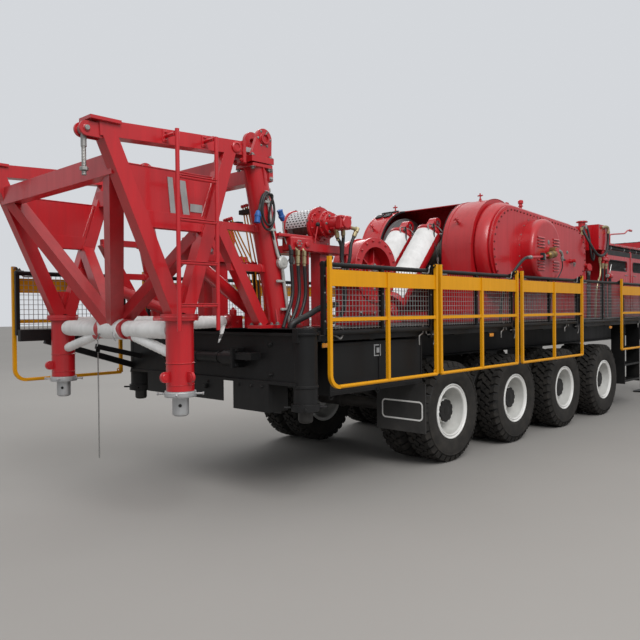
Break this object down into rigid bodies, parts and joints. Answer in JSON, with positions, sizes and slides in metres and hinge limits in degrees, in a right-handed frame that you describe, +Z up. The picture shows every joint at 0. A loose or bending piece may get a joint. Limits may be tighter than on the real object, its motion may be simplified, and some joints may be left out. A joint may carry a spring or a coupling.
{
  "type": "trailer-mounted drilling rig",
  "caption": "Multi-axle semi-trailer carrying drilling rig machinery: drawworks, raising rams, mast hinge posts, folding walkways and a base frame behind; the mast is off.",
  "frame": {"origin": "on the ground, under the middle of the whole trailer", "axes": "+X forward to the kingpin end, +Y to the left of the trailer, +Z up"},
  "size_m": [13.7999, 2.874, 3.22],
  "materials": {
    "red_paint": "gloss",
    "black_paint": "satin",
    "grey_paint": "satin",
    "silver_paint": "satin",
    "yellow_paint": "satin",
    "bare_steel": "satin",
    "bright_rod": "polished",
    "dark_engine": "matte",
    "white_wrap": "matte",
    "flap_rubber": "matte",
    "tyre_rubber": "matte",
    "amber_lens": "gloss"
  },
  "bodies": {
    "trailer": {"base_frame": "red_paint", "chain_case": "red_paint", "chassis": "black_paint", "drawworks_housing": "red_paint", "engine_house": "red_paint", "engines": "dark_engine", "hanging_chain": "bare_steel", "house_roof": "grey_paint", "marker_lamps": "amber_lens", "mast_posts": "red_paint", "mast_rest": "red_paint", "mud_flaps": "flap_rubber", "neck_tank": "red_paint", "parking_legs": "black_paint", "ram_brackets": "red_paint", "ring_nuts": "bare_steel", "rotary_drive": "red_paint", "running_gear": "black_paint", "steps": "black_paint", "tool_boxes": "black_paint", "winch_frames": "red_paint", "winch_guards": "silver_paint", "wrapped_tubes": "white_wrap"},
    "wheel_1_near": {"wheel_1_near": "tyre_rubber"},
    "wheel_1_far": {"wheel_1_far": "tyre_rubber"},
    "wheel_2_near": {"wheel_2_near": "tyre_rubber"},
    "wheel_2_far": {"wheel_2_far": "tyre_rubber"},
    "wheel_3_near": {"wheel_3_near": "tyre_rubber"},
    "wheel_3_far": {"wheel_3_far": "tyre_rubber"},
    "wheel_4_near": {"wheel_4_near": "tyre_rubber"},
    "wheel_4_far": {"wheel_4_far": "tyre_rubber"},
    "walkway_far_1": {"walkway_far_1": "black_paint"},
    "handrail_far_1": {"handrail_far_1": "yellow_paint"},
    "walkway_far_2": {"walkway_far_2": "black_paint"},
    "handrail_far_2": {"handrail_far_2": "yellow_paint"},
    "walkway_far_3": {"walkway_far_3": "black_paint"},
    "handrail_far_3": {"handrail_far_3": "yellow_paint"},
    "walkway_far_4": {"walkway_far_4": "black_paint"},
    "handrail_far_4": {"handrail_far_4": "yellow_paint"},
    "walkway_near_1": {"walkway_near_1": "black_paint"},
    "handrail_near_1": {"handrail_near_1": "yellow_paint"},
    "walkway_near_2": {"walkway_near_2": "black_paint"},
    "handrail_near_2": {"handrail_near_2": "yellow_paint"},
    "walkway_near_3": {"walkway_near_3": "black_paint"},
    "handrail_near_3": {"handrail_near_3": "yellow_paint"},
    "walkway_near_4": {"walkway_near_4": "black_paint"},
    "handrail_near_4": {"handrail_near_4": "yellow_paint"},
    "ram_barrel_near": {"ram_barrel_near": "white_wrap"},
    "ram_rod_near": {"ram_rod_near": "bright_rod"},
    "ram_barrel_far": {"ram_barrel_far": "white_wrap"},
    "ram_rod_far": {"ram_rod_far": "bright_rod"},
    "base_screw_near": {"base_screw_near": "bare_steel"},
    "jack_leg_near": {"jack_leg_near": "bare_steel"},
    "base_screw_far": {"base_screw_far": "bare_steel"},
    "jack_leg_far": {"jack_leg_far": "bare_steel"},
    "drawworks_drum": {"drawworks_drum": "bare_steel"},
    "winch_drum_near": {"winch_drum_near": "bare_steel"},
    "winch_drum_far": {"winch_drum_far": "bare_steel"}
  },
  "joints": [
    {"name": "wheel_1_near_spin", "type": "hinge", "parent": "trailer", "child": "wheel_1_near", "pos_m": [-2.8, 0, 0.545], "axis": [0, 1, 0], "continuous": true},
    {"name": "wheel_1_far_spin", "type": "hinge", "parent": "trailer", "child": "wheel_1_far", "pos_m": [-2.8, 0, 0.545], "axis": [0, 1, 0], "continuous": true},
    {"name": "wheel_2_near_spin", "type": "hinge", "parent": "trailer", "child": "wheel_2_near", "pos_m": [-1.36, 0, 0.545], "axis": [0, 1, 0], "continuous": true},
    {"name": "wheel_2_far_spin", "type": "hinge", "parent": "trailer", "child": "wheel_2_far", "pos_m": [-1.36, 0, 0.545], "axis": [0, 1, 0], "continuous": true},
    {"name": "wheel_3_near_spin", "type": "hinge", "parent": "trailer", "child": "wheel_3_near", "pos_m": [0.08, 0, 0.545], "axis": [0, 1, 0], "continuous": true},
    {"name": "wheel_3_far_spin", "type": "hinge", "parent": "trailer", "child": "wheel_3_far", "pos_m": [0.08, 0, 0.545], "axis": [0, 1, 0], "continuous": true},
    {"name": "wheel_4_near_spin", "type": "hinge", "parent": "trailer", "child": "wheel_4_near", "pos_m": [1.52, 0, 0.545], "axis": [0, 1, 0], "continuous": true},
    {"name": "wheel_4_far_spin", "type": "hinge", "parent": "trailer", "child": "wheel_4_far", "pos_m": [1.52, 0, 0.545], "axis": [0, 1, 0], "continuous": true},
    {"name": "walkway_far_1_fold", "type": "hinge", "parent": "trailer", "child": "walkway_far_1", "pos_m": [0, 1.345, 1.455], "axis": [-1, 0, 0], "range_deg": [0, 90]},
    {"name": "handrail_far_1_swing", "type": "hinge", "parent": "walkway_far_1", "child": "handrail_far_1", "pos_m": [0, 1.42, 2.085], "axis": [-1, 0, 0], "range_deg": [-270, 0]},
    {"name": "walkway_far_2_fold", "type": "hinge", "parent": "trailer", "child": "walkway_far_2", "pos_m": [0, 1.345, 1.455], "axis": [-1, 0, 0], "range_deg": [0, 90]},
    {"name": "handrail_far_2_swing", "type": "hinge", "parent": "walkway_far_2", "child": "handrail_far_2", "pos_m": [0, 1.42, 2.085], "axis": [-1, 0, 0], "range_deg": [-270, 0]},
    {"name": "walkway_far_3_fold", "type": "hinge", "parent": "trailer", "child": "walkway_far_3", "pos_m": [0, 1.345, 1.455], "axis": [-1, 0, 0], "range_deg": [0, 90]},
    {"name": "handrail_far_3_swing", "type": "hinge", "parent": "walkway_far_3", "child": "handrail_far_3", "pos_m": [0, 1.42, 2.085], "axis": [-1, 0, 0], "range_deg": [-270, 0]},
    {"name": "walkway_far_4_fold", "type": "hinge", "parent": "trailer", "child": "walkway_far_4", "pos_m": [0, 1.345, 1.455], "axis": [-1, 0, 0], "range_deg": [0, 90]},
    {"name": "handrail_far_4_swing", "type": "hinge", "parent": "walkway_far_4", "child": "handrail_far_4", "pos_m": [0, 1.42, 2.085], "axis": [-1, 0, 0], "range_deg": [-270, 0]},
    {"name": "walkway_near_1_fold", "type": "hinge", "parent": "trailer", "child": "walkway_near_1", "pos_m": [0, -1.345, 1.455], "axis": [1, 0, 0], "range_deg": [0, 90]},
    {"name": "handrail_near_1_swing", "type": "hinge", "parent": "walkway_near_1", "child": "handrail_near_1", "pos_m": [0, -1.42, 2.085], "axis": [1, 0, 0], "range_deg": [-270, 0]},
    {"name": "walkway_near_2_fold", "type": "hinge", "parent": "trailer", "child": "walkway_near_2", "pos_m": [0, -1.345, 1.455], "axis": [1, 0, 0], "range_deg": [0, 90]},
    {"name": "handrail_near_2_swing", "type": "hinge", "parent": "walkway_near_2", "child": "handrail_near_2", "pos_m": [0, -1.42, 2.085], "axis": [1, 0, 0], "range_deg": [-270, 0]},
    {"name": "walkway_near_3_fold", "type": "hinge", "parent": "trailer", "child": "walkway_near_3", "pos_m": [0, -1.345, 1.455], "axis": [1, 0, 0], "range_deg": [0, 90]},
    {"name": "handrail_near_3_swing", "type": "hinge", "parent": "walkway_near_3", "child": "handrail_near_3", "pos_m": [0, -1.42, 2.085], "axis": [1, 0, 0], "range_deg": [-270, 0]},
    {"name": "walkway_near_4_fold", "type": "hinge", "parent": "trailer", "child": "walkway_near_4", "pos_m": [0, -1.345, 1.455], "axis": [1, 0, 0], "range_deg": [0, 90]},
    {"name": "handrail_near_4_swing", "type": "hinge", "parent": "walkway_near_4", "child": "handrail_near_4", "pos_m": [0, -1.42, 2.085], "axis": [1, 0, 0], "range_deg": [-270, 0]},
    {"name": "ram_barrel_near_tilt", "type": "hinge", "parent": "trailer", "child": "ram_barrel_near", "pos_m": [-2.6, -0.22, 1.64], "axis": [0, 1, 0], "range_deg": [-50, 0]},
    {"name": "ram_rod_near_slide", "type": "slide", "parent": "ram_barrel_near", "child": "ram_rod_near", "axis": [0.6691, 0, 0.7431], "range_m": [0, 1.05]},
    {"name": "ram_barrel_far_tilt", "type": "hinge", "parent": "trailer", "child": "ram_barrel_far", "pos_m": [-2.6, 0.22, 1.64], "axis": [0, 1, 0], "range_deg": [-50, 0]},
    {"name": "ram_rod_far_slide", "type": "slide", "parent": "ram_barrel_far", "child": "ram_rod_far", "axis": [0.6691, 0, 0.7431], "range_m": [0, 1.05]},
    {"name": "base_screw_near_travel", "type": "slide", "parent": "trailer", "child": "base_screw_near", "axis": [0, 0, -1], "range_m": [0, 0.48]},
    {"name": "jack_leg_near_travel", "type": "slide", "parent": "trailer", "child": "jack_leg_near", "axis": [0, 0, -1], "range_m": [0, 0.69]},
    {"name": "base_screw_far_travel", "type": "slide", "parent": "trailer", "child": "base_screw_far", "axis": [0, 0, -1], "range_m": [0, 0.48]},
    {"name": "jack_leg_far_travel", "type": "slide", "parent": "trailer", "child": "jack_leg_far", "axis": [0, 0, -1], "range_m": [0, 0.69]},
    {"name": "drawworks_drum_spin", "type": "hinge", "parent": "trailer", "child": "drawworks_drum", "pos_m": [-1.11, 0, 2.4], "axis": [0, 1, 0], "continuous": true},
    {"name": "winch_drum_near_spin", "type": "hinge", "parent": "trailer", "child": "winch_drum_near", "pos_m": [-4.48, 0, 2.44], "axis": [0, 1, 0], "continuous": true},
    {"name": "winch_drum_far_spin", "type": "hinge", "parent": "trailer", "child": "winch_drum_far", "pos_m": [-4.48, 0, 2.44], "axis": [0, 1, 0], "continuous": true}
  ],
  "couplings": [
    {"joint": "handrail_far_1_swing", "follows": "walkway_far_1_fold", "ratio": -3},
    {"joint": "handrail_far_2_swing", "follows": "walkway_far_2_fold", "ratio": -3},
    {"joint": "handrail_far_3_swing", "follows": "walkway_far_3_fold", "ratio": -3},
    {"joint": "handrail_far_4_swing", "follows": "walkway_far_4_fold", "ratio": -3},
    {"joint": "handrail_near_1_swing", "follows": "walkway_near_1_fold", "ratio": -3},
    {"joint": "handrail_near_2_swing", "follows": "walkway_near_2_fold", "ratio": -3},
    {"joint": "handrail_near_3_swing", "follows": "walkway_near_3_fold", "ratio": -3},
    {"joint": "handrail_near_4_swing", "follows": "walkway_near_4_fold", "ratio": -3},
    {"joint": "ram_rod_near_slide", "follows": "ram_barrel_near_tilt", "m_per_rad": -1.2},
    {"joint": "ram_rod_far_slide", "follows": "ram_barrel_far_tilt", "m_per_rad": -1.2}
  ]
}
